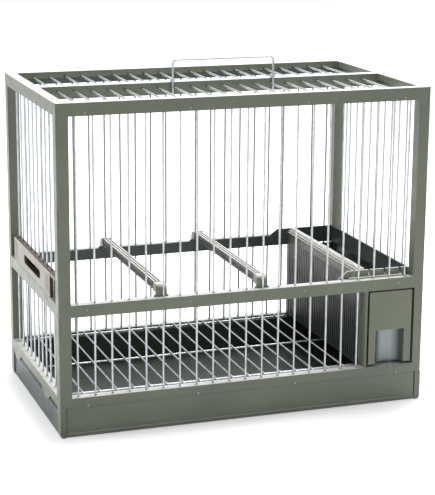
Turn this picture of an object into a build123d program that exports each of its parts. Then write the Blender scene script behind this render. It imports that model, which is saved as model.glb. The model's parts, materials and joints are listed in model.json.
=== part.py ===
from build123d import *
import math
import os

os.makedirs("parts", exist_ok=True)

# Overall size in millimetres. X is left to right, Y is front to back, Z is up from the table.
cage_width = 380.0
cage_depth = 220.0
roof_top = 324.0
half_w = cage_width / 2
half_d = cage_depth / 2

# Posts and rails
post_side = 12.0
rail_depth = 10.0
outer_rail = 6.6
post_round = 1.6
base_low, base_high = 30.0, 39.5
mid_low, mid_high = 119.6, 131.5
roof_low = 311.5
post_joint = 223.0
fit_gap = 0.1
inner_w = half_w - post_side
inner_d = half_d - post_side

# Wires and the square grooves that hold them
wire = 2.0
wire_sides = 8
wire_turn = 180 / wire_sides
wire_flat = wire / 2 * math.cos(math.radians(wire_turn))
wire_inset = 5.5
groove = 2.2
wire_pitch = 17.07
front_count = 21
side_pitch = 17.5
side_count = 11
door_wire_count = 10
wire_y = half_d - wire_inset
wire_x = half_w - wire_inset
low_seat = 32.5
mid_seat = 122.4
side_top = 128.6
roof_seat = 321.0
roof_wire_z = 318.6
roof_wire_reach = 104.8
roof_groove_low = roof_wire_z - groove / 2

front_xs = [(k - (front_count - 1) / 2) * wire_pitch for k in range(front_count)]
roof_xs = [(front_xs[k] + front_xs[k + 1]) / 2 for k in range(front_count - 1)]
side_ys = [(k - (side_count - 1) / 2) * side_pitch for k in range(side_count)]
door_ys = [(k - (door_wire_count - 1) / 2) * side_pitch for k in range(door_wire_count)]

# Feet, side skirts with the tray runners, and tray
foot_width = 6.0
foot_round = 3.5
skirt_outer, skirt_inner = 188.4, 184.2
skirt_top = 28.6
runner_high = 2.8
runner_edge = 174.0
tongue_outer, tongue_inner = 187.6, 185.4
tongue_reach = 1.4
lug_chord = 34.0
lug_drop = 8.0
lug_thick = 1.5
lug_ys = [-50.0, 80.0]
tray_half = 183.6
tray_wall = 1.8
tray_low = 3.1
tray_top = 28.6
tray_back = 97.4
tray_front_top = 29.5
lip_high = 4.8

# Floor grate
ledge_low, ledge_high = 34.3, 36.3
ledge_reach = {"front": 16.0, "back": 5.0}
grate_reach = 99.5
grate_wide = inner_w - 3.0
grate_shift = -1.3
grate_long_ys = [-91.0, 0.0, 97.4]
grate_low = ledge_high + wire_flat
grate_high = grate_low + 2 * wire_flat
grate_top = grate_high + wire_flat

# Feeder corner
wall_left, wall_right = 124.2, 127.6
wall_top = 137.0
wall_end = inner_d + 1.9
jamb_left, jamb_right = 126.7, 129.1
recess_right = 180.2
drawer_left, drawer_right = 131.0, 178.0
drawer_low, drawer_high = 42.0, 118.0
drawer_back = 93.0
scoop_width = 32.0
scoop_depth = 10.0
scoop_wall = 1.5
scoop_top = 77.4
scoop_x = 154.4
front_plate = 3.0
drawer_wall = 1.8
rim_start = 101.0
rim_slope = 10.0
rim_low, rim_top = 121.0, 139.0
rim_thick = 2.4
rim_flange = 4.4
rim_slot = 1.8
rim_end = inner_d - rim_thick

# Side door
door_front, door_back = -75.4, 80.6
door_low, door_high = 131.8, 155.5
door_thick = 3.6
door_bar = 7.6
door_seat = 150.0
ear_end = -95.0
ear_low, ear_high = 153.0, 156.0
ear_seat = ear_low + 0.6

# Carry handle
leg_left = roof_xs[7] - 2.4
leg_right = roof_xs[13] + 2.4
leg_y = -8.1
grip_z = 346.3
hook_z = 310.2
centre_rail = 12.0

# Perches
perch_width = 9.5
perch_low, perch_high = 135.5, 143.5
perch_left_x = -86.5
perch_right_x = 17.1
perch_end = 91.4
perch_tongue = 5.0
perch_tongue_end = 97.6
perch_tongue_top = 141.3


def finish(part, name):
    """Label a piece and write it to its own file"""
    part.label = name
    export_step(part, "parts/" + name + ".step")


def block(low, high, mode=Mode.ADD):
    """Straight-sided block between two corners"""
    middle = [(a + b) / 2 for a, b in zip(low, high)]
    size = [b - a for a, b in zip(low, high)]
    with Locations(tuple(middle)):
        Box(*size, mode=mode)


def ring(low, high, depth):
    """Rectangular hoop of rails, as deep as stated, inside the outer faces"""
    with BuildSketch(Plane.XY.offset(low)) as hoop:
        RectangleRounded(cage_width, cage_depth, post_round)
        Rectangle(cage_width - 2 * depth, cage_depth - 2 * depth, mode=Mode.SUBTRACT)
    extrude(hoop.sketch, amount=high - low)


def posts(low, high):
    """Four corner posts with the outer corner rounded off"""
    with BuildSketch(Plane.XY.offset(low)) as corners:
        RectangleRounded(cage_width, cage_depth, post_round)
        Rectangle(2 * inner_w, cage_depth, mode=Mode.SUBTRACT)
        Rectangle(cage_width, 2 * inner_d, mode=Mode.SUBTRACT)
    extrude(corners.sketch, amount=high - low)


def cut_columns(points, low, high):
    """Square upright grooves for the wires"""
    with BuildSketch(Plane.XY.offset(low)) as grooves:
        with Locations(*points):
            Rectangle(groove, groove)
    extrude(grooves.sketch, amount=high - low, mode=Mode.SUBTRACT)


def straight_wires(plane, points, length):
    """Straight wires along a plane's normal, each its own solid"""
    with BuildSketch(plane) as sections:
        with Locations(*points):
            RegularPolygon(wire / 2, wire_sides, rotation=wire_turn)
    extrude(sections.sketch, amount=length)


def upright_wires(points, low, high):
    """Straight upright wires between two heights"""
    straight_wires(Plane.XY.offset(low), points, high - low)


front_points = [(x, -wire_y) for x in front_xs]
back_points = [(x, wire_y) for x in front_xs]
left_points = [(-wire_x, y) for y in side_ys]
right_points = [(wire_x, y) for y in side_ys]
door_points = [(-wire_x, y) for y in door_ys]
lower_front_points = [p for p in front_points if p[0] < wall_left]
upper_front_points = [p for p in front_points if p[0] > wall_left]

# Pins moulded on the clamp strips, pressed through the outer rails
pin_radius = 1.25
pin_proud = 0.3
pin_xs = {
    "base": [-162.2, -51.2, 51.2, 162.2],
    "middle": [roof_xs[0], roof_xs[6], roof_xs[13], roof_xs[19]],
    "roof": [roof_xs[0], roof_xs[6], roof_xs[13], roof_xs[19]],
}
pin_ys = {
    "left": {"base": 61.25, "middle": 61.25, "roof": 70.0},
    "right": {"base": 61.25, "middle": 61.25, "roof": 61.25},
}
pin_zs = {"base": 31.3, "middle": 126.0, "roof": 314.5}
pin_sides = 6


def pin_row(level, side, radius, start, end, mode):
    """Six-sided pins through one rail, from depth start to depth end"""
    z = pin_zs[level]
    sign = -1 if side in ("front", "left") else 1
    if side in ("front", "back"):
        centres = [(along, sign * (half_d - start), z) for along in pin_xs[level]]
        outward = (0, sign, 0)
    else:
        centres = [(sign * (half_w - start), along * pin_ys[side][level], z) for along in (-1, 1)]
        outward = (sign, 0, 0)
    for centre in centres:
        with BuildSketch(Plane(origin=centre, z_dir=outward)) as section:
            RegularPolygon(radius, pin_sides)
        extrude(section.sketch, amount=start - end, mode=mode)


def pin_holes(level):
    """Holes for the pins through all four outer rails"""
    for side in ("front", "back", "left", "right"):
        pin_row(level, side, pin_radius + fit_gap, outer_rail + 0.5, -0.5, Mode.SUBTRACT)


def round_feet():
    """Round the lower outer edges of the feet on the left and right"""
    with BuildSketch(Plane.XZ.offset(-half_d)) as foot_edges:
        for side in (-1, 1):
            with Locations((side * (half_w - foot_round / 2), foot_round / 2)):
                Rectangle(foot_round, foot_round)
        for side in (-1, 1):
            with Locations((side * (half_w - foot_round), foot_round)):
                Circle(foot_round, mode=Mode.SUBTRACT)
    extrude(foot_edges.sketch, amount=cage_depth, mode=Mode.SUBTRACT)


def skirt_grooves():
    """Upright grooves in the feet for the tongues of the side skirts"""
    groove_y = inner_d + tongue_reach + fit_gap
    for side in (-1, 1):
        x = sorted([side * (tongue_outer + fit_gap), side * (tongue_inner - fit_gap)])
        block((x[0], -groove_y, 0), (x[1], groove_y, skirt_top + fit_gap), Mode.SUBTRACT)


def foot_peg(side, gap, mode):
    """Square peg that joins a front foot to its corner post"""
    x = sorted([side * (half_w - 2.0 + gap), side * (half_w - 4.0 - gap)])
    block((x[0], -106.0 - gap, base_low), (x[1], -102.0 + gap, base_low + 4.0 + gap), mode)


# Base frame: bottom rails, lower posts, back feet, lugs that steady the side skirts
lug_radius = (lug_chord ** 2 / 4 + lug_drop ** 2) / (2 * lug_drop)
with BuildPart() as base_frame:
    ring(base_low, base_high, outer_rail)
    posts(0, mid_low)
    block((-half_w, -half_d, 0), (half_w, -inner_d, base_low), Mode.SUBTRACT)
    round_feet()
    skirt_grooves()
    for side in (-1, 1):
        foot_peg(side, fit_gap, Mode.SUBTRACT)
        lug_x = min(side * half_w, side * (half_w - lug_thick))
        for y in lug_ys:
            with BuildSketch(Plane(origin=(lug_x, y, base_low), x_dir=(0, 1, 0), z_dir=(1, 0, 0))) as lug:
                with Locations((0, lug_radius - lug_drop)):
                    Circle(lug_radius)
                with Locations((0, lug_radius)):
                    Rectangle(2 * lug_radius, 2 * lug_radius, mode=Mode.SUBTRACT)
            extrude(lug.sketch, amount=lug_thick)
    block((inner_w, -half_d, base_high), (recess_right, -inner_d, mid_low), Mode.SUBTRACT)
    cut_columns(lower_front_points + back_points + left_points, low_seat, base_high)
    block((wire_x - groove / 2, -inner_d, base_high - 2.5), (wire_x + groove / 2, inner_d, base_high),
          Mode.SUBTRACT)
    pin_holes("base")


def front_foot(name, side):
    """Narrow front foot beside the tray front, pegged into the corner post above it"""
    x = sorted([side * half_w, side * (half_w - foot_width)])
    with BuildPart() as foot:
        block((x[0], -half_d, 0), (x[1], -inner_d, base_low))
        round_feet()
        skirt_grooves()
        foot_peg(side, 0.0, Mode.ADD)
    finish(foot.part, name)


front_foot("front_foot_left", -1)
front_foot("front_foot_right", 1)


def side_skirt(name, side):
    """Side wall below the rail with a runner for the tray; its ends slide into the posts"""
    with BuildPart() as skirt:
        x = sorted([side * skirt_outer, side * skirt_inner])
        block((x[0], -inner_d, 0), (x[1], inner_d, skirt_top))
        x = sorted([side * tongue_outer, side * tongue_inner])
        block((x[0], -inner_d - tongue_reach, 0), (x[1], inner_d + tongue_reach, skirt_top))
        x = sorted([side * skirt_inner, side * runner_edge])
        block((x[0], -inner_d, 0), (x[1], inner_d, runner_high))
    finish(skirt.part, name)


side_skirt("side_skirt_left", -1)
side_skirt("side_skirt_right", 1)

# Middle frame: middle rails and the middle part of the posts
with BuildPart() as middle_frame:
    ring(mid_low, mid_high, outer_rail)
    posts(mid_low, post_joint)
    cut_columns(lower_front_points + back_points, mid_low, mid_high)
    cut_columns(upper_front_points + right_points, mid_seat, mid_high)
    cut_columns(left_points, mid_low, side_top)
    block((wire_x - groove / 2, -inner_d, mid_low), (wire_x + groove / 2, inner_d, mid_low + 2.0),
          Mode.SUBTRACT)
    pin_holes("middle")

# Roof frame: top rails with an inner flange, the centre rail and the top part of the posts
with BuildPart() as roof_frame:
    ring(roof_low, roof_top, outer_rail)
    ring(roof_groove_low, roof_top, rail_depth)
    posts(post_joint, roof_top)
    rail_reach = half_w - outer_rail
    block((-rail_reach, -centre_rail / 2, roof_low), (rail_reach, centre_rail / 2, roof_top))
    cut_columns(front_points + back_points + right_points, roof_low, roof_seat)
    cut_columns(door_points, roof_low, roof_top)
    with BuildSketch(Plane.XZ.offset(-roof_wire_reach - fit_gap)) as roof_grooves:
        with Locations(*[(x, roof_wire_z) for x in roof_xs]):
            Rectangle(groove, groove)
    extrude(roof_grooves.sketch, amount=2 * (roof_wire_reach + fit_gap), mode=Mode.SUBTRACT)
    pin_holes("roof")

# Clamp strips: they close the grooves from inside, held by their own pins
levels = {"base": (base_low, base_high), "middle": (mid_low, mid_high), "roof": (roof_low, roof_groove_low)}


def clamp_strip(level, side):
    """One inner strip with its pins; the front and back base strips carry the grate ledge"""
    low, high = levels[level]
    sign = -1 if side in ("front", "left") else 1
    with BuildPart() as strip:
        if side in ("front", "back"):
            reach = inner_w - fit_gap
            y = sorted([sign * (half_d - outer_rail), sign * (half_d - rail_depth)])
            block((-reach, y[0], low), (reach, y[1], high))
            if level == "base":
                y = sorted([sign * (half_d - rail_depth), sign * (half_d - rail_depth - ledge_reach[side])])
                block((-reach, y[0], ledge_low), (reach, y[1], ledge_high))
        else:
            reach = inner_d - fit_gap
            x = sorted([sign * (half_w - outer_rail), sign * (half_w - rail_depth)])
            if level == "roof":
                block((x[0], -reach, low), (x[1], -centre_rail / 2 - fit_gap, high))
                block((x[0], centre_rail / 2 + fit_gap, low), (x[1], reach, high))
            else:
                block((x[0], -reach, low), (x[1], reach, high))
        pin_row(level, side, pin_radius, outer_rail, -pin_proud, Mode.ADD)
    finish(strip.part, level + "_clamp_" + side)


for level_name in levels:
    for side_name in ("front", "back", "left", "right"):
        clamp_strip(level_name, side_name)

finish(base_frame.part, "base_frame")
finish(middle_frame.part, "middle_frame")
finish(roof_frame.part, "roof_frame")

# Wires of the four sides
with BuildPart() as front_wires:
    upright_wires(lower_front_points, low_seat + fit_gap, roof_seat - fit_gap)
    upright_wires(upper_front_points, mid_seat + fit_gap, roof_seat - fit_gap)
finish(front_wires.part, "front_wires")

with BuildPart() as back_wires:
    upright_wires(back_points, low_seat + fit_gap, roof_seat - fit_gap)
finish(back_wires.part, "back_wires")

with BuildPart() as left_wires:
    upright_wires(left_points, low_seat + fit_gap, side_top - fit_gap)
finish(left_wires.part, "left_wires")

with BuildPart() as right_wires:
    upright_wires(right_points, mid_seat + fit_gap, roof_seat - fit_gap)
finish(right_wires.part, "right_wires")

# Roof wires run front to back through the centre rail
roof_points = [(x, roof_wire_z) for x in roof_xs]
with BuildPart() as roof_wires:
    straight_wires(Plane.XZ.offset(-roof_wire_reach), roof_points, 2 * roof_wire_reach)
finish(roof_wires.part, "roof_wires")

# Floor grate: lengthwise wires welded under the front-to-back wires
grate_points = [(x + grate_shift, grate_high) for x in roof_xs]
with BuildPart() as floor_grate:
    straight_wires(Plane.XZ.offset(-grate_reach), grate_points, 2 * grate_reach)
    straight_wires(Plane.YZ.offset(-grate_wide), [(y, grate_low) for y in grate_long_ys], 2 * grate_wide)
finish(floor_grate.part, "floor_grate")

# Dropping tray: a floor with a full-width front and a lip to pull, and walls on the other three sides
floor_top = tray_low + tray_wall
front_foot_y, front_top_y = -half_d + 2.4, -half_d + 3.4
front_foot_z = 0.6
front_slope = (front_top_y - front_foot_y) / (tray_front_top - front_foot_z)
wall_foot_y = front_foot_y + front_slope * (floor_top - front_foot_z)
wall_top_y = front_foot_y + front_slope * (tray_top - front_foot_z)
with BuildPart() as floor_tray:
    with BuildSketch(Plane.YZ.offset(-tray_half)):
        with BuildLine():
            Polyline(
                (-half_d + 0.9, lip_high),
                (-half_d, lip_high - 1.0),
                (-half_d, front_foot_z),
                (front_foot_y, front_foot_z),
                (front_foot_y + front_slope * (tray_low - front_foot_z), tray_low),
                (tray_back, tray_low),
                (tray_back, floor_top),
                (wall_foot_y, floor_top),
                (front_top_y, tray_front_top),
                (-half_d + 1.4, tray_front_top),
                close=True,
            )
        make_face()
    extrude(amount=2 * tray_half)
finish(floor_tray.part, "floor_tray")

with BuildPart() as tray_walls:
    for wall_x in (-tray_half, tray_half - tray_wall):
        with BuildSketch(Plane.YZ.offset(wall_x)) as wall_side:
            with BuildLine():
                Polyline(
                    (wall_foot_y, floor_top),
                    (tray_back, floor_top),
                    (tray_back, tray_top),
                    (wall_top_y, tray_top),
                    close=True,
                )
            make_face()
        extrude(wall_side.sketch, amount=tray_wall)
finish(tray_walls.part, "tray_walls")

with BuildPart() as tray_back_wall:
    block((-tray_half + tray_wall, tray_back - tray_wall, floor_top), (tray_half - tray_wall, tray_back, tray_top))
finish(tray_back_wall.part, "tray_back_wall")


# Perches: ribbed bars with a tongue at each end
def perch_profile(width, height, ribs):
    """Perch section: a flat-bottomed bar with rounded ribs on top and deep grooves between them"""
    pitch = width / ribs
    rib_high = pitch / 3
    Rectangle(width, height - rib_high, align=(Align.CENTER, Align.MIN))
    with Locations(*[((k - (ribs - 1) / 2) * pitch, height - rib_high) for k in range(ribs)]):
        Trapezoid(pitch * 0.84, rib_high, 60, align=(Align.CENTER, Align.MIN))


def perch(name, x):
    """Perch bar with a groove along each side and a tongue for the bracket at each end"""
    with BuildPart() as bar:
        with BuildSketch(Plane(origin=(x, perch_end, perch_low), x_dir=(1, 0, 0), z_dir=(0, -1, 0))):
            perch_profile(perch_width, perch_high - perch_low, 3)
            with Locations((-perch_width / 2, 3.6), (perch_width / 2, 3.6)):
                Rectangle(1.4, 1.2, mode=Mode.SUBTRACT)
        extrude(amount=2 * perch_end)
        block((x - perch_tongue / 2, -perch_tongue_end, perch_low + 0.5),
              (x + perch_tongue / 2, perch_tongue_end, perch_tongue_top))
    finish(bar.part, name)


# Brackets: elbows that stand on the middle clamp strips and hood the perch ends
bracket_width = 10.8
bracket_base = 14.0
elbow_face = 91.6
elbow_foot = half_d - rail_depth
elbow_back = 103.2


def bracket(name, x, side):
    """Elbow bracket; a slot open from below drops over the perch tongue"""
    with BuildPart() as elbow:
        with BuildSketch(Plane.YZ.offset(x - bracket_width / 2)):
            with BuildLine():
                Polyline(
                    (side * elbow_face, 141.0),
                    (side * elbow_face, perch_low - 0.7),
                    (side * (elbow_foot - 3.5), perch_low - 0.7),
                    (side * elbow_foot, mid_high + 1.6),
                    (side * elbow_foot, mid_high),
                    (side * elbow_back, mid_high),
                    (side * elbow_back, 136.0),
                )
                ThreePointArc((side * elbow_back, 136.0), (side * 100.6, 141.6), (side * 95.0, 143.9))
                ThreePointArc((side * 95.0, 143.9), (side * 92.5, 143.1), (side * elbow_face, 141.0))
            make_face()
        extrude(amount=bracket_width)
        y = sorted([side * elbow_foot, side * elbow_back])
        block((x - bracket_base / 2, y[0], mid_high), (x + bracket_base / 2, y[1], mid_high + 1.8))
        y = sorted([side * (elbow_face - 1.0), side * (perch_tongue_end + 0.3)])
        slot_half = perch_tongue / 2 + 0.15
        block((x - slot_half, y[0], mid_high), (x + slot_half, y[1], perch_tongue_top + 0.3), Mode.SUBTRACT)
    finish(elbow.part, name)


for perch_side, perch_x in (("left", perch_left_x), ("right", perch_right_x)):
    perch("perch_" + perch_side, perch_x)
    bracket("bracket_" + perch_side + "_front", perch_x, -1)
    bracket("bracket_" + perch_side + "_back", perch_x, 1)

# Partition wall between the bird's space and the feeder, finely ribbed on the bird's side
rib_pitch = 5.0
rib_count = 38
rib_depth = 0.7
rib_low, rib_high = grate_top + 3.0, 126.0
bead_low, bead_high = 133.8, 135.4
rib_points = [(wall_left, (k - (rib_count - 1) / 2) * rib_pitch) for k in range(rib_count)]
with BuildPart() as partition_wall:
    block((wall_left, -wall_end, grate_top), (wall_right, wall_end, mid_low))
    block((jamb_left, -half_d + 1.0, base_high + 0.1), (jamb_right, -wall_end + 1.0, mid_low - 0.1))
    block((wall_left, -rim_end, mid_low), (wall_right, rim_end, wall_top))
    with BuildSketch(Plane.XY.offset(rib_low)):
        with Locations(*rib_points):
            Rectangle(2 * rib_depth, rib_pitch / 2)
    extrude(amount=rib_high - rib_low)
    block((wall_left - 1.4, -rim_end, bead_low), (wall_left, rim_end, bead_high))
finish(partition_wall.part, "partition_wall")

# Capping perch on top of the partition
feeder_perch_x = 128.0
feeder_perch_width = 4.6
feeder_perch_high = 3.4
with BuildPart() as feeder_perch:
    with BuildSketch(Plane(origin=(feeder_perch_x, rim_end, wall_top), x_dir=(1, 0, 0), z_dir=(0, -1, 0))):
        perch_profile(feeder_perch_width, feeder_perch_high, 2)
    extrude(amount=2 * rim_end)
finish(feeder_perch.part, "feeder_perch")

# Closed panel on the right, below the middle rail, standing in the rails' grooves
panel_half = 0.9
panel_end = inner_d - fit_gap
with BuildPart() as side_panel:
    block((wire_x - panel_half, -panel_end, base_high - 2.4), (wire_x + panel_half, panel_end, mid_low + 1.9))
finish(side_panel.part, "side_panel")

# Shelf under the drawer
with BuildPart() as feeder_shelf:
    block((jamb_right + 0.1, -wall_end, grate_top), (inner_w - fit_gap, wall_end, grate_top + 1.4))
    block((wall_right, -wall_end + 1.2, grate_top), (jamb_right + 0.1, wall_end, grate_top + 1.4))
finish(feeder_shelf.part, "feeder_shelf")

# Seed guard rim: a U-shaped wall just inside the posts, hung by a flange on the clamp strips
with BuildPart() as feeder_rim:
    with BuildSketch(Plane.XY.offset(rim_low)) as rim_plan:
        with Locations(((rim_start + inner_w) / 2, 0)):
            Rectangle(inner_w - rim_start, 2 * inner_d)
        with Locations(((rim_start + inner_w) / 2 - rim_thick, 0)):
            Rectangle(inner_w - rim_start, 2 * rim_end, mode=Mode.SUBTRACT)
    extrude(amount=rim_top - rim_low)
    flange_start = rim_start + rim_slope
    flange_long = inner_w - flange_start - 8.0
    with BuildSketch(Plane.XY.offset(mid_high)) as flange_plan:
        for side in (-1, 1):
            with Locations((flange_start + flange_long / 2, side * (inner_d + rim_flange / 2))):
                Rectangle(flange_long, rim_flange)
        with Locations((inner_w + rim_flange / 2, 0)):
            Rectangle(rim_flange, 2 * inner_d - 8.0)
    extrude(amount=1.2)
    with BuildSketch(Plane.XZ.offset(-half_d)):
        with BuildLine():
            Polyline(
                (rim_start, rim_top),
                (rim_start + rim_slope, rim_top),
                (rim_start, mid_high),
                close=True,
            )
        make_face()
    extrude(amount=cage_depth, mode=Mode.SUBTRACT)
    slot_low = mid_high + 2.0
    with BuildSketch(Plane.XZ):
        with Locations(*[(x - rim_slot, (slot_low + rim_top) / 2) for x in front_xs if x > flange_start]):
            Rectangle(rim_slot, rim_top - slot_low)
    extrude(amount=half_d, mode=Mode.SUBTRACT)
finish(feeder_rim.part, "feeder_rim")

# Feeder drawer: a long open box behind a tall front with a hollow finger scoop
scoop_radius = (scoop_width ** 2 / 4 + scoop_depth ** 2) / (2 * scoop_depth)
front_face = -half_d + 0.6
body_front = front_face + front_plate
body_left, body_right = drawer_left + 1.0, drawer_right - 1.0
body_high = drawer_high - 4.0
floor_thick = 2.0
scoop_centre = front_face - (scoop_radius - scoop_depth)
with BuildPart() as feeder_drawer:
    block((drawer_left, front_face, drawer_low), (drawer_right, body_front, drawer_high))
    block((body_left, body_front, drawer_low), (body_right, drawer_back, body_high))
    block((body_left + drawer_wall, body_front, drawer_low + floor_thick),
          (body_right - drawer_wall, drawer_back - drawer_wall, drawer_high), Mode.SUBTRACT)
    with BuildSketch(Plane.XY.offset(drawer_low)) as scoop_back:
        with Locations((scoop_x, scoop_centre)):
            Circle(scoop_radius + scoop_wall)
        with Locations((scoop_x, front_face - scoop_radius)):
            Rectangle(4 * scoop_radius, 2 * scoop_radius, mode=Mode.SUBTRACT)
    extrude(amount=scoop_top + scoop_wall - drawer_low)
    with BuildSketch(Plane.XY.offset(drawer_low)) as scoop_hollow:
        with Locations((scoop_x, scoop_centre)):
            Circle(scoop_radius)
    extrude(amount=scoop_top - drawer_low, mode=Mode.SUBTRACT)
finish(feeder_drawer.part, "feeder_drawer")

# Inside the drawer: a saddle between the two pits and a sloping chute at the back
pit_left = body_left + drawer_wall + fit_gap
pit_right = body_right - drawer_wall - fit_gap
pit_floor = drawer_low + floor_thick
saddle_front, saddle_back = -27.0, -12.0
saddle_top = 113.9
saddle_wall = 1.6
with BuildPart() as drawer_divider:
    with BuildSketch(Plane.YZ.offset(pit_left)):
        with BuildLine():
            Polyline(
                (saddle_front, pit_floor),
                (saddle_front + saddle_wall, pit_floor),
                (saddle_front + saddle_wall, saddle_top - 2.0),
                (saddle_back - saddle_wall, saddle_top - 2.0),
                (saddle_back - saddle_wall, pit_floor),
                (saddle_back, pit_floor),
                (saddle_back, saddle_top),
                (saddle_front, saddle_top),
                close=True,
            )
        make_face()
    extrude(amount=pit_right - pit_left)
finish(drawer_divider.part, "drawer_divider")

chute_front = 44.0
chute_back = drawer_back - drawer_wall - fit_gap
chute_low, chute_high = 88.5, 113.8
chute_wall = 1.6
with BuildPart() as seed_chute:
    with BuildSketch(Plane.YZ.offset(pit_left)):
        with BuildLine():
            Polyline(
                (chute_front, pit_floor),
                (chute_front + chute_wall, pit_floor),
                (chute_front + chute_wall, chute_low - 1.2),
                (chute_back, chute_high - 2.2),
                (chute_back, chute_high),
                (chute_front, chute_low),
                close=True,
            )
        make_face()
    extrude(amount=pit_right - pit_left)
finish(seed_chute.part, "seed_chute")

# Side door: a grip plate with a finger pocket, a top bar that holds its wires, and the wires
slot_y0, slot_y1 = -35.0, 36.0
slot_z0, slot_z1 = 139.0, 148.0
pocket_floor, pocket_back = -180.4, -179.3
pocket_wall = 1.5
bar_low = slot_z1 + pocket_wall
plate_groove = 1.6
plate_groove_deep = 1.0
plate_grooves = [-68.0, -60.0, 65.0, 73.0]
plate_mid_z = (door_low + door_high) / 2
side_plane = Plane(origin=(-half_w, 0, 0), x_dir=(0, 1, 0), z_dir=(1, 0, 0))
ear_points = [p for p in door_points if p[1] < door_front]
plate_points = [p for p in door_points if p[1] > door_front]
with BuildPart() as door_plate:
    block((-half_w, door_front, door_low), (-half_w + door_thick, door_back, door_high))
    block((-half_w + door_thick, door_front, bar_low), (-half_w + door_bar, door_back, door_high))
    block((-half_w + 0.4, ear_end, ear_low), (-half_w + door_bar, door_front, ear_high))
    block((-half_w + door_thick, slot_y0 - pocket_wall, slot_z0 - pocket_wall),
          (pocket_back, slot_y1 + pocket_wall, slot_z1 + pocket_wall))
    with BuildSketch(side_plane) as pocket:
        with Locations(((slot_y0 + slot_y1) / 2, (slot_z0 + slot_z1) / 2)):
            SlotOverall(slot_y1 - slot_y0, slot_z1 - slot_z0)
    extrude(pocket.sketch, amount=half_w + pocket_floor, mode=Mode.SUBTRACT)
    with BuildSketch(side_plane) as grooves:
        with Locations(*[(y, plate_mid_z) for y in plate_grooves]):
            Rectangle(plate_groove, door_high - door_low - 5.0)
    extrude(grooves.sketch, amount=plate_groove_deep, mode=Mode.SUBTRACT)
    cut_columns(plate_points, door_seat, door_high)
    cut_columns(ear_points, ear_seat, ear_high)
finish(door_plate.part, "door_plate")

with BuildPart() as door_wires:
    upright_wires(plate_points, door_seat + fit_gap, roof_top - 1.0)
    upright_wires(ear_points, ear_seat + fit_gap, roof_top - 1.0)
finish(door_wires.part, "door_wires")

# Guides that stop the closed door from moving sideways, set back behind the plate's face
guide_face = half_w - 3.5
guide_back = half_w - outer_rail
guide_gap = 0.4
guide_high = ear_low - guide_gap
with BuildPart() as door_guides:
    block((-guide_face, -inner_d, mid_high), (-guide_back, door_front - guide_gap, guide_high))
    block((-guide_face, door_back + guide_gap, mid_high), (-guide_back, inner_d, guide_high))
finish(door_guides.part, "door_guides")

# Carry handle: one bent wire; each leg ends in a hook under the centre rail
with BuildPart() as carry_handle:
    with BuildLine() as handle_path:
        FilletPolyline(
            (leg_left, 5.0, hook_z),
            (leg_left, leg_y, hook_z),
            (leg_left, leg_y, grip_z),
            (leg_right, leg_y, grip_z),
            (leg_right, leg_y, hook_z),
            (leg_right, 5.0, hook_z),
            radius=[2.5, 4.0, 4.0, 2.5],
        )
    with BuildSketch(Plane(origin=handle_path.line @ 0, z_dir=handle_path.line % 0)):
        RegularPolygon(wire / 2, wire_sides, rotation=wire_turn)
    sweep()
finish(carry_handle.part, "carry_handle")

# Eyelets on the centre rail that guide the legs
eye_low, eye_high = roof_top + 1.0, roof_top + 3.8
with BuildPart() as handle_eyes:
    for x in (leg_left, leg_right):
        away = -1 if x == leg_left else 1
        with BuildSketch(Plane.XY.offset(eye_low)) as eye:
            with Locations((x, leg_y)):
                RegularPolygon(2.3, wire_sides, rotation=wire_turn)
                RegularPolygon(1.2, wire_sides, rotation=wire_turn, mode=Mode.SUBTRACT)
        extrude(eye.sketch, amount=eye_high - eye_low)
        block((x - 1.2, -centre_rail / 2 - 0.8, roof_top), (x + 1.2, -2.0, eye_high))
finish(handle_eyes.part, "handle_eyes")
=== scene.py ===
import json
import math
import random

import bmesh
import bpy
from mathutils import Matrix, Vector


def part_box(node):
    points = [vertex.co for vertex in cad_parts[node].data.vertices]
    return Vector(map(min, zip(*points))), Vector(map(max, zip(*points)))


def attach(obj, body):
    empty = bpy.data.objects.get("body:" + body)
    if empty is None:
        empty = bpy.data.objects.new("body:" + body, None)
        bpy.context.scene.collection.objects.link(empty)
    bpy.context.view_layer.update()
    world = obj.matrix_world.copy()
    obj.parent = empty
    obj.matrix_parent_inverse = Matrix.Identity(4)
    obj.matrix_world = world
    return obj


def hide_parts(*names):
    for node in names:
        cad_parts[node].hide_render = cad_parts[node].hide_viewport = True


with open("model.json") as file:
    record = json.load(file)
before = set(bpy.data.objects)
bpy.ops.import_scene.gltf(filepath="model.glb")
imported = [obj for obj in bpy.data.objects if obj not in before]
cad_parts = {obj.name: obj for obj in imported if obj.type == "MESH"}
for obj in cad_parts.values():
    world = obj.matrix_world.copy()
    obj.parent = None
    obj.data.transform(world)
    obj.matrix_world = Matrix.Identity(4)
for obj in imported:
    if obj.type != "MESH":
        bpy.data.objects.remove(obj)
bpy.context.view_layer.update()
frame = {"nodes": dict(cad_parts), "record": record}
nodes = frame["nodes"]

MM = 0.001
X, Y, Z = range(3)

# Camera, solved from the straight rails of the photographed cage
SENSOR = 36.0
LONG_SIDE_PX = 495
FOCAL_PX = 1607.06
CAMERA_PLACE = Vector((-530.97, -1526.94, 550.49)) * MM
CAMERA_YAW = math.radians(19.389)
CAMERA_PITCH = math.radians(13.946)
CAMERA_ROLL = math.radians(0.4287)
CLIP_START = 0.05
CLIP_END = 60

# Studio, in metres and watts: a lamp is its place, its target, its size and its power
FLOOR_HALF = 4.0
FLOOR_LIFT = (0.45, 1.0)
FLOOR_LIFT_REACH = (0.17, 0.42)
WORLD_LIGHT = 0.22
LAMPS = {
    "overhead": ((0.45, 0.55, 1.7), (0, 0, 0.2), 1.4, 50.0),
    "left": ((-1.9, 0.15, 1.2), (0, 0, 0.15), 1.2, 5.0),
}

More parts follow.
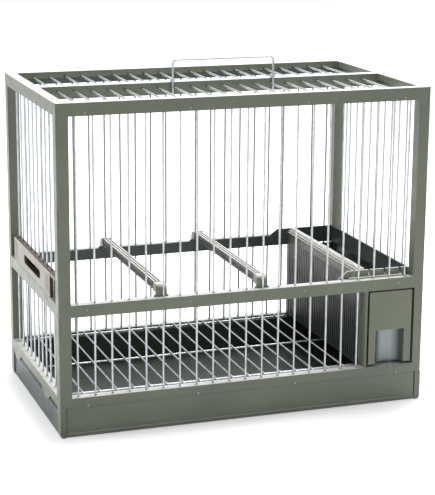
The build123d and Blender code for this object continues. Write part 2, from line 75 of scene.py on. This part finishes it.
# Drawn wire; the door's wires are almost straight, because they slide through holes in the roof
WIRE_RADIUS = 1.0 * MM
WIRE_SIDES = 12
WIRE_STEP = 9.0 * MM
WIRE_BOW = 0.35 * MM
DOOR_WIRE_BOW = 0.04 * MM
GRATE_SHIFT = 1.3 * MM
GRATE_LENGTHWISE = (-91.0 * MM, 0.0, 97.4 * MM)
HANDLE_BENDS = (2.5 * MM, 4.0 * MM, 4.0 * MM, 2.5 * MM)
BEND_STEPS = 8

# Softened moulding edges
EDGE_RADIUS = 0.35 * MM
EDGE_SEGMENTS = 2
EDGE_ANGLE = math.radians(28)
FLAT_ANGLE = math.radians(0.6)
WELD_DISTANCE = 0.005 * MM

# Small mouldings under the two back rails: (y, z) points, and the ends in x, all in millimetres
BACK_LIP = [
    (99.4, 25.6), (101.6, 25.6), (103.2, 27.4), (103.2, 30.0), (100.2, 30.0), (100.2, 27.0), (99.4, 26.4),
]
BACK_LIP_ENDS = (-177.6, 177.6)
FEEDER_LIP = [(95.4, 112.4), (97.3, 112.4), (97.8, 113.2), (97.8, 119.4), (95.9, 119.4), (95.4, 118.6)]
FEEDER_LIP_ENDS = (131.2, 177.8)

# Colours, as the bare surface's own reflectance, except those noted as painted light or shade
SAGE = (0.220, 0.240, 0.180)
SAGE_TRAY = (0.225, 0.248, 0.200)
SHADE_TINTED_SKIRT = (0.205, 0.220, 0.226)
LIT_SAGE_DOOR = (0.420, 0.390, 0.305)
SAGE_DRAWER = (0.225, 0.242, 0.178)
PALE_SAGE = (0.500, 0.520, 0.450)
SHADED_SAGE = (0.075, 0.096, 0.080)
BLUE_GREY = (0.200, 0.225, 0.235)
PAINTED_SHADE_GREEN = (0.020, 0.027, 0.022)
TRAY_BACK_SHADE = (0.050, 0.058, 0.046)
DOOR_EDGE_SHADE = (0.110, 0.085, 0.060)
SLOT_SHADE = (0.030, 0.025, 0.020)
WARM_GREY = (0.190, 0.176, 0.158)
PARTITION_SHADE = (0.028, 0.034, 0.029)
PERCH_GREY = (0.420, 0.415, 0.385)
PERCH_SIDE_SHADE = (0.060, 0.060, 0.052)
PALE_CREAM = (0.80, 0.82, 0.78)
GALVANISED = (0.50, 0.52, 0.54)
SCOOP_SHADE = (0.070, 0.080, 0.070)
SCOOP_REFLECTION = (0.52, 0.58, 0.60)
SHADED_ZINC = (0.30, 0.315, 0.325)
DUST_AND_TOP_LIGHT = (0.86, 0.86, 0.83)
FLOOR_TONES = ((0.80, 0.81, 0.82), (0.82, 0.83, 0.84))
WHITE = (1.0, 1.0, 1.0)
PLASTIC_IOR = 1.49


def camera():
    """The photograph's viewpoint, with its slight roll."""
    data = bpy.data.cameras.new("camera")
    data.sensor_width = SENSOR
    data.lens = FOCAL_PX / LONG_SIDE_PX * SENSOR
    data.clip_start = CLIP_START
    data.clip_end = CLIP_END
    cam = bpy.data.objects.new("camera", data)
    bpy.context.scene.collection.objects.link(cam)
    bpy.context.scene.camera = cam
    sin_yaw, cos_yaw = math.sin(CAMERA_YAW), math.cos(CAMERA_YAW)
    sin_pitch, cos_pitch = math.sin(CAMERA_PITCH), math.cos(CAMERA_PITCH)
    forward = Vector((sin_yaw * cos_pitch, cos_yaw * cos_pitch, -sin_pitch))
    right = Vector((cos_yaw, -sin_yaw, 0))
    up = right.cross(forward)
    level = Matrix((right, up, -forward)).transposed()
    turned = level @ Matrix.Rotation(CAMERA_ROLL, 3, "Z")
    cam.matrix_world = Matrix.Translation(CAMERA_PLACE) @ turned.to_4x4()


def shader(name):
    """An empty node material with its surface shader."""
    material = bpy.data.materials.new(name)
    material.use_nodes = True
    tree = material.node_tree
    return material, tree, tree.nodes["Principled BSDF"]


def add(tree, kind, inputs=None, **settings):
    """One node; inputs maps a socket to a value or to another node's socket."""
    node = tree.nodes.new("ShaderNode" + kind)
    for key, value in settings.items():
        setattr(node, key, value)
    for key, value in (inputs or {}).items():
        if isinstance(value, bpy.types.NodeSocket):
            tree.links.new(value, node.inputs[key])
        else:
            node.inputs[key].default_value = value
    return node


def place(tree, stretch=(1, 1, 1)):
    """Object coordinates in metres, stretched along the axes."""
    coords = add(tree, "TexCoord")
    return add(tree, "Mapping", {"Vector": coords.outputs["Object"], "Scale": stretch}).outputs[0]


def noise_value(tree, scale, detail=3.0, stretch=(1, 1, 1)):
    """Noise from 0 to 1; scale is features per metre."""
    inputs = {"Vector": place(tree, stretch), "Scale": scale, "Detail": detail}
    return add(tree, "TexNoise", inputs).outputs["Fac"]


def remap(tree, value, low, high, from_low=0.3, from_high=0.7):
    """Stretch a value from one range to another, held at both ends."""
    inputs = {"Value": value, "From Min": from_low, "From Max": from_high, "To Min": low, "To Max": high}
    return add(tree, "MapRange", inputs).outputs["Result"]


def times(tree, first, second):
    """The product of two values."""
    return add(tree, "Math", {0: first, 1: second}, operation="MULTIPLY").outputs[0]


def bump(tree, height, strength, distance, normal=None):
    """A normal that follows a height, on top of another bumped normal if one is given."""
    inputs = {"Height": height, "Strength": strength, "Distance": distance}
    if normal is not None:
        inputs["Normal"] = normal
    return add(tree, "Bump", inputs).outputs["Normal"]


def shade(colour, factor=1.0):
    """A colour with its alpha, made lighter or darker."""
    return tuple(channel * factor for channel in colour) + (1.0,)


def mix(tree, factor, first, second):
    """Mix two colours."""
    node = add(tree, "Mix", data_type="RGBA")
    for socket, value in ((0, factor), (6, first), (7, second)):
        if isinstance(value, bpy.types.NodeSocket):
            tree.links.new(value, node.inputs[socket])
        else:
            node.inputs[socket].default_value = value
    return node.outputs[2]


def upward(tree):
    """1 on faces that look up, where dust settles and top light is painted in, 0 on the others."""
    normal = add(tree, "NewGeometry").outputs["Normal"]
    split = add(tree, "SeparateXYZ", {"Vector": normal})
    return remap(tree, split.outputs["Z"], 0.0, 1.0, 0.5, 0.98)


def seen_rays(tree, *kinds):
    """1 for rays of the named kinds, which only look at a surface, and 0 for those that carry its light."""
    rays = add(tree, "LightPath")
    seen = rays.outputs[kinds[0]]
    for kind in kinds[1:]:
        seen = add(tree, "Math", {0: seen, 1: rays.outputs[kind]}, operation="MAXIMUM").outputs[0]
    return seen


def moulded_plastic(name, colour, roughness=0.36, dust_and_top_light=0.85, gloss=0.5, fades=()):
    """Satin injection-moulded plastic: cloudy colour, flow streaks, dust and painted top light on upward
    faces, and a fine grain.

    Each fade is an axis, the places in millimetres where it starts and is full, and its colour; most fades
    are painted shade, and one is a painted reflection.
    """
    material, tree, surface = shader(name)
    clouds = remap(tree, noise_value(tree, 16.0, 4.0), 0.0, 1.0)
    flow = remap(tree, noise_value(tree, 40.0, 2.0, (0.25, 0.25, 1.6)), 0.0, 1.0)
    specks = remap(tree, noise_value(tree, 700.0, 2.0), 0.0, 1.0, 0.62, 0.74)
    tone = mix(tree, clouds, shade(colour, 0.90), shade(colour, 1.10))
    tone = mix(tree, times(tree, flow, 0.25), tone, shade(colour, 1.28))
    tone = mix(tree, times(tree, specks, 0.12), tone, shade(colour, 1.6))
    # Upward faces go towards a pale colour: partly dust, partly painted top light
    tone = mix(tree, times(tree, upward(tree), dust_and_top_light), tone, shade(DUST_AND_TOP_LIGHT))
    for axis, start, full, shadow in fades:
        along = add(tree, "SeparateXYZ", {"Vector": place(tree)}).outputs[axis]
        tone = mix(tree, remap(tree, along, 0.0, 1.0, start * MM, full * MM), tone, shade(shadow))
    tree.links.new(tone, surface.inputs["Base Color"])
    rough = remap(tree, noise_value(tree, 90.0, 3.0), roughness - 0.05, roughness + 0.08)
    tree.links.new(rough, surface.inputs["Roughness"])
    waves = bump(tree, noise_value(tree, 55.0, 1.0), 0.12, 0.5 * MM)
    skin = bump(tree, noise_value(tree, 1500.0, 2.0), 0.10, 0.1 * MM, waves)
    tree.links.new(skin, surface.inputs["Normal"])
    surface.inputs["IOR"].default_value = PLASTIC_IOR
    surface.inputs["Specular IOR Level"].default_value = gloss
    return material


def drawn_wire(name, colour, roughness=0.34, metallic=0.85):
    """Galvanised wire: bright, with drawing streaks and dull zinc patches."""
    material, tree, surface = shader(name)
    patches = remap(tree, noise_value(tree, 120.0, 3.0), 0.0, 1.0)
    tone = mix(tree, patches, shade(colour, 0.82), shade(colour, 1.12))
    tree.links.new(tone, surface.inputs["Base Color"])
    rough = remap(tree, noise_value(tree, 260.0, 2.0), roughness - 0.07, roughness + 0.12)
    tree.links.new(rough, surface.inputs["Roughness"])
    grain = bump(tree, noise_value(tree, 1800.0, 2.0), 0.15, 0.05 * MM)
    tree.links.new(grain, surface.inputs["Normal"])
    surface.inputs["Metallic"].default_value = metallic
    return material


def mesh_object(name, verts, faces, material, body, replaced=(), smooth=True):
    """A piece that rides on a body, and takes the place of the nodes named as replaced."""
    mesh = bpy.data.meshes.new(name)
    mesh.from_pydata(verts, [], faces)
    mesh.materials.append(material)
    for polygon in mesh.polygons:
        polygon.use_smooth = smooth
    mesh.update()
    piece = bpy.data.objects.new(name, mesh)
    bpy.context.scene.collection.objects.link(piece)
    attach(piece, body)
    if replaced:
        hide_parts(*replaced)


def tube(points, verts, faces, radius=WIRE_RADIUS, sides=WIRE_SIDES):
    """Add a round closed-ended tube along the points to the lists of vertices and faces."""
    start = len(verts)
    side_way = None
    last = len(points) - 1
    for i, point in enumerate(points):
        ahead = (points[min(i + 1, last)] - points[max(i - 1, 0)]).normalized()
        if side_way is None:
            side_way = ahead.orthogonal().normalized()
        side_way = (side_way - ahead * side_way.dot(ahead)).normalized()
        other_way = ahead.cross(side_way)
        for k in range(sides):
            angle = 2 * math.pi * k / sides
            verts.append(point + radius * (math.cos(angle) * side_way + math.sin(angle) * other_way))
    for i in range(last):
        for k in range(sides):
            a = start + i * sides + k
            b = start + i * sides + (k + 1) % sides
            faces.append((a, b, b + sides, a + sides))
    faces.append(tuple(start + k for k in reversed(range(sides))))
    faces.append(tuple(start + last * sides + k for k in range(sides)))


def separate_boxes(node):
    """Lowest and highest corners of each separate solid in a CAD node."""
    work = bmesh.new()
    work.from_mesh(nodes[node].data)
    bmesh.ops.remove_doubles(work, verts=work.verts, dist=WELD_DISTANCE)
    left = set(work.verts)
    boxes = []
    while left:
        seed = left.pop()
        group, queue = [seed.co.copy()], [seed]
        while queue:
            for edge in queue.pop().link_edges:
                for vert in edge.verts:
                    if vert in left:
                        left.discard(vert)
                        queue.append(vert)
                        group.append(vert.co.copy())
        low = Vector([min(co[axis] for co in group) for axis in range(3)])
        high = Vector([max(co[axis] for co in group) for axis in range(3)])
        boxes.append((low, high))
    work.free()
    return sorted(boxes, key=lambda pair: (round(pair[0].x, 4), round(pair[0].y, 4)))


def bowed_line(start, end, bow, draw):
    """Points from start to end with a slight random bow that fades to nothing at both ends."""
    length = (end - start).length
    count = max(2, math.ceil(length / WIRE_STEP))
    way = (end - start).normalized()
    side = way.orthogonal().normalized()
    other = way.cross(side)
    angle = draw.uniform(0, 2 * math.pi)
    second = draw.uniform(-0.5, 0.5) * bow
    first = draw.uniform(0.2, 1.0) * bow
    points = []
    for i in range(count + 1):
        t = i / count
        push = first * math.sin(math.pi * t) + second * math.sin(2 * math.pi * t)
        points.append(start.lerp(end, t) + push * (math.cos(angle) * side + math.sin(angle) * other))
    return points


def wire_row(node, material, body, bow=WIRE_BOW):
    """Round, slightly bowed wires in place of a node's plain ones."""
    draw = random.Random(node)
    verts, faces = [], []
    for low, high in separate_boxes(node):
        size = high - low
        axis = max(range(3), key=lambda i: size[i])
        middle = (low + high) / 2
        start, end = middle.copy(), middle.copy()
        start[axis], end[axis] = low[axis], high[axis]
        tube(bowed_line(start, end, bow, draw), verts, faces)
    mesh_object(node + "_round", verts, faces, material, body, [node])


def soften(name, radius=EDGE_RADIUS):
    """Join a node's faces, round its edges and shade it smoothly, all without touching its mesh."""
    part = nodes[name]
    weld = part.modifiers.new("weld", "WELD")
    weld.merge_threshold = WELD_DISTANCE
    flat = part.modifiers.new("flat", "DECIMATE")
    flat.decimate_type = "DISSOLVE"
    flat.angle_limit = FLAT_ANGLE
    bevel = part.modifiers.new("edges", "BEVEL")
    bevel.width = radius
    bevel.segments = EDGE_SEGMENTS
    bevel.limit_method = "ANGLE"
    bevel.angle_limit = EDGE_ANGLE
    bevel.use_clamp_overlap = True
    bevel.harden_normals = True


def paint(name, material):
    """Give a CAD node one material."""
    materials = nodes[name].data.materials
    materials.clear()
    materials.append(material)


def lamp(name, where, target, size, power):
    """A square soft lamp that looks at a point."""
    data = bpy.data.lights.new(name, "AREA")
    data.size = size
    data.energy = power
    light = bpy.data.objects.new(name, data)
    bpy.context.scene.collection.objects.link(light)
    light.location = where
    light.rotation_mode = "QUATERNION"
    light.rotation_quaternion = (Vector(target) - Vector(where)).to_track_quat("-Z", "Y")


def floor():
    """Pale floor that looks white a little way from the cage and keeps its shadow."""
    corners = [(-FLOOR_HALF, -FLOOR_HALF, 0), (FLOOR_HALF, -FLOOR_HALF, 0),
               (FLOOR_HALF, FLOOR_HALF, 0), (-FLOOR_HALF, FLOOR_HALF, 0)]
    mesh = bpy.data.meshes.new("floor")
    mesh.from_pydata(corners, [], [(0, 1, 2, 3)])
    ground = bpy.data.objects.new("floor", mesh)
    bpy.context.scene.collection.objects.link(ground)
    material, tree, surface = shader("floor_white")
    fine = remap(tree, noise_value(tree, 30.0, 2.0), 0.0, 1.0)
    tone = mix(tree, fine, shade(FLOOR_TONES[0]), shade(FLOOR_TONES[1]))
    tree.links.new(tone, surface.inputs["Base Color"])
    surface.inputs["Roughness"].default_value = 0.9
    surface.inputs["Specular IOR Level"].default_value = 0.1
    away = add(tree, "VectorMath", {0: place(tree)}, operation="LENGTH").outputs["Value"]
    rising = remap(tree, away, *FLOOR_LIFT, *FLOOR_LIFT_REACH)
    lift = times(tree, seen_rays(tree, "Is Camera Ray", "Is Glossy Ray"), rising)
    surface.inputs["Emission Color"].default_value = shade(WHITE)
    tree.links.new(lift, surface.inputs["Emission Strength"])
    mesh.materials.append(material)


def surround():
    """A world that looks white and lights the cage softly."""
    world = bpy.data.worlds.new("surround")
    bpy.context.scene.world = world
    world.use_nodes = True
    tree = world.node_tree
    background = tree.nodes["Background"]
    seen = seen_rays(tree, "Is Camera Ray", "Is Glossy Ray", "Is Transmission Ray")
    strength = add(tree, "MapRange", {"Value": seen, "To Min": WORLD_LIGHT, "To Max": 1.0}).outputs["Result"]
    background.inputs["Color"].default_value = shade(WHITE)
    tree.links.new(strength, background.inputs["Strength"])


def floor_grate_wires(material):
    """Round cross wires that lie on three lengthwise ones."""
    low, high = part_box("floor_grate")
    draw = random.Random("grate")
    verts, faces = [], []
    top, bottom = high.z - WIRE_RADIUS, low.z + WIRE_RADIUS
    for left, right in separate_boxes("roof_wires"):
        x = (left.x + right.x) / 2 - GRATE_SHIFT
        start, end = Vector((x, low.y, top)), Vector((x, high.y, top))
        tube(bowed_line(start, end, WIRE_BOW / 2, draw), verts, faces)
    for y in GRATE_LENGTHWISE:
        start, end = Vector((low.x, y, bottom)), Vector((high.x, y, bottom))
        tube(bowed_line(start, end, WIRE_BOW / 4, draw), verts, faces)
    mesh_object("floor_grate_round", verts, faces, material, "cage", ["floor_grate"])


def rounded_route(corners, radii, steps=BEND_STEPS):
    """A polyline with its inner corners turned into arcs."""
    points = [corners[0]]
    for i, radius in enumerate(radii, start=1):
        back = (corners[i - 1] - corners[i]).normalized()
        on = (corners[i + 1] - corners[i]).normalized()
        half_turn = back.angle(on) / 2
        cut = radius / math.tan(half_turn)
        centre = corners[i] + (back + on).normalized() * radius / math.sin(half_turn)
        first = (corners[i] + back * cut - centre).normalized()
        last = (corners[i] + on * cut - centre).normalized()
        for k in range(steps + 1):
            points.append(centre + radius * first.slerp(last, k / steps))
    points.append(corners[-1])
    return points


def handle_wire(material):
    """The carry handle: a wire loop with rounded corners and feet that turn back."""
    low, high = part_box("carry_handle")
    left, right = low.x + WIRE_RADIUS, high.x - WIRE_RADIUS
    foot, grip = low.z + WIRE_RADIUS, high.z - WIRE_RADIUS
    front, back = low.y + WIRE_RADIUS, high.y
    corners = [
        Vector((left, back, foot)), Vector((left, front, foot)),
        Vector((left, front, grip)), Vector((right, front, grip)),
        Vector((right, front, foot)), Vector((right, back, foot)),
    ]
    route = rounded_route(corners, HANDLE_BENDS)
    points = []
    for a, b in zip(route, route[1:]):
        count = max(1, math.ceil((b - a).length / WIRE_STEP))
        points += [a.lerp(b, k / count) for k in range(count)]
    points.append(route[-1])
    verts, faces = [], []
    tube(points, verts, faces)
    mesh_object("carry_handle_round", verts, faces, material, "handle", ["carry_handle"])


def moulding(name, profile, ends, material, body):
    """A straight flat-faced moulding along X, from its profile and its two ends in millimetres."""
    count = len(profile)
    verts = [Vector((x, y, z)) * MM for x in ends for y, z in profile]
    faces = [(i, (i + 1) % count, (i + 1) % count + count, i + count) for i in range(count)]
    faces += [tuple(reversed(range(count))), tuple(range(count, 2 * count))]
    mesh_object(name, verts, faces, material, body, smooth=False)


bpy.context.scene.view_settings.view_transform = "Standard"
camera()
floor()
surround()
for lamp_name, settings in LAMPS.items():
    lamp(lamp_name, *settings)

sage = moulded_plastic("sage_plastic", SAGE)
# The tray darkens towards the back: painted shade on its floor and walls
sage_tray = moulded_plastic("sage_tray", SAGE_TRAY, fades=[(Y, -80.0, 0.0, TRAY_BACK_SHADE)])
# The side skirts are a blue-grey copy of sage, tinted as they look in shade, and black above z 23.4: painted
# shadow under the bottom rail
shade_tinted_skirt = moulded_plastic("shade_tinted_skirt", SHADE_TINTED_SKIRT, gloss=0.1, fades=[(Z, 22.8, 23.4, PAINTED_SHADE_GREEN)])
# The door is a lighter, warmer copy of sage for its lit left face, and it darkens inward from its outer
# face, deepest in the finger slot: painted light and painted shade
lit_sage_door = moulded_plastic("lit_sage_door", LIT_SAGE_DOOR, gloss=0.25, fades=[
    (X, -189.7, -189.2, DOOR_EDGE_SHADE), (X, -186.0, -182.0, SLOT_SHADE)])
# The scoop has painted shade at its edges and a painted reflection in its hollow, and the drawer body behind
# its front is painted shade
sage_drawer = moulded_plastic("sage_drawer", SAGE_DRAWER, fades=[
    (Y, -109.2, -107.5, SCOOP_SHADE), (Y, -104.5, -100.2, SCOOP_REFLECTION), (Y, -99.0, -98.5, PAINTED_SHADE_GREEN)])
# The rim's walls behind its front strip are painted shade
sage_rim = moulded_plastic("sage_rim", SAGE, fades=[(Y, -95.0, -93.0, SHADED_SAGE)])
pale_sage = moulded_plastic("pale_sage", PALE_SAGE)
# A darker copy of sage for faces in shade: painted shade
shaded_sage = moulded_plastic("shaded_sage", SHADED_SAGE, dust_and_top_light=0.3)
blue_grey = moulded_plastic("blue_grey", BLUE_GREY, dust_and_top_light=0.15)
# The partition darkens towards the bottom: painted shade
partition_grey = moulded_plastic("partition_grey", WARM_GREY, roughness=0.45,
                                 fades=[(Z, 122.0, 95.0, PARTITION_SHADE), (Y, -99.0, -99.8, SAGE)])
# The perch is dark below its top face: painted shade on its sides
perch_grey = moulded_plastic("perch_grey", PERCH_GREY, roughness=0.5,
                             fades=[(Z, 143.1, 142.6, PERCH_SIDE_SHADE)])
# Pale cream: partly the feeder perch's own colour, partly a painted highlight for its lit top
pale_cream = moulded_plastic("pale_cream", PALE_CREAM, roughness=0.4)
wire_metal = drawn_wire("galvanised_wire", GALVANISED)
shaded_wire_metal = drawn_wire("shaded_zinc_wire", SHADED_ZINC, roughness=0.42)
grate_metal = drawn_wire("galvanised_grate", GALVANISED, roughness=0.3)

slots = {row["node"]: row["material_slot"] for row in frame["record"]["subparts"]}
finishes = {
    "frame_plastic": sage,
    "tray_plastic": sage_tray,
    "door_plastic": lit_sage_door,
    "drawer_plastic": sage_drawer,
    "partition_plastic": partition_grey,
    "perch_plastic": perch_grey,
    "bar_wire": wire_metal,
    "grate_wire": grate_metal,
    "handle_wire": wire_metal,
}
special = {
    "feeder_perch": pale_cream,
    "feeder_rim": sage_rim,
    "seed_chute": blue_grey,
    "drawer_divider": pale_sage,
    "side_skirt_left": shade_tinted_skirt,
    "side_skirt_right": shade_tinted_skirt,
    # The door guides and the back brackets are in the shaded copy of sage: painted shade
    "door_guides": shaded_sage,
    "bracket_left_back": shaded_sage,
    "bracket_right_back": shaded_sage,
}
# Front and left clamp strips take the pale copy of sage and back and right ones the shaded copy: painted
# light and painted shade by side
for level in ("base", "middle", "roof"):
    for near, far in (("front", "back"), ("left", "right")):
        special[level + "_clamp_" + near] = pale_sage
        special[level + "_clamp_" + far] = shaded_sage
for node_name in nodes:
    paint(node_name, special.get(node_name, finishes[slots[node_name]]))

for node_name in ("front_wires", "left_wires", "right_wires", "roof_wires"):
    wire_row(node_name, wire_metal, "cage")
# The back wires take a darker copy of the wire: painted shade
wire_row("back_wires", shaded_wire_metal, "cage")
wire_row("door_wires", wire_metal, "door", DOOR_WIRE_BOW)
floor_grate_wires(grate_metal)
handle_wire(wire_metal)
# The two lips under the back rails are in the shaded copy of sage: painted shade
moulding("back_lip", BACK_LIP, BACK_LIP_ENDS, shaded_sage, "cage")
moulding("feeder_lip", FEEDER_LIP, FEEDER_LIP_ENDS, shaded_sage, "cage")

for node_name, finish_slot in slots.items():
    if not finish_slot.endswith("wire"):
        soften(node_name, EDGE_RADIUS / 2 if node_name == "feeder_rim" else EDGE_RADIUS)
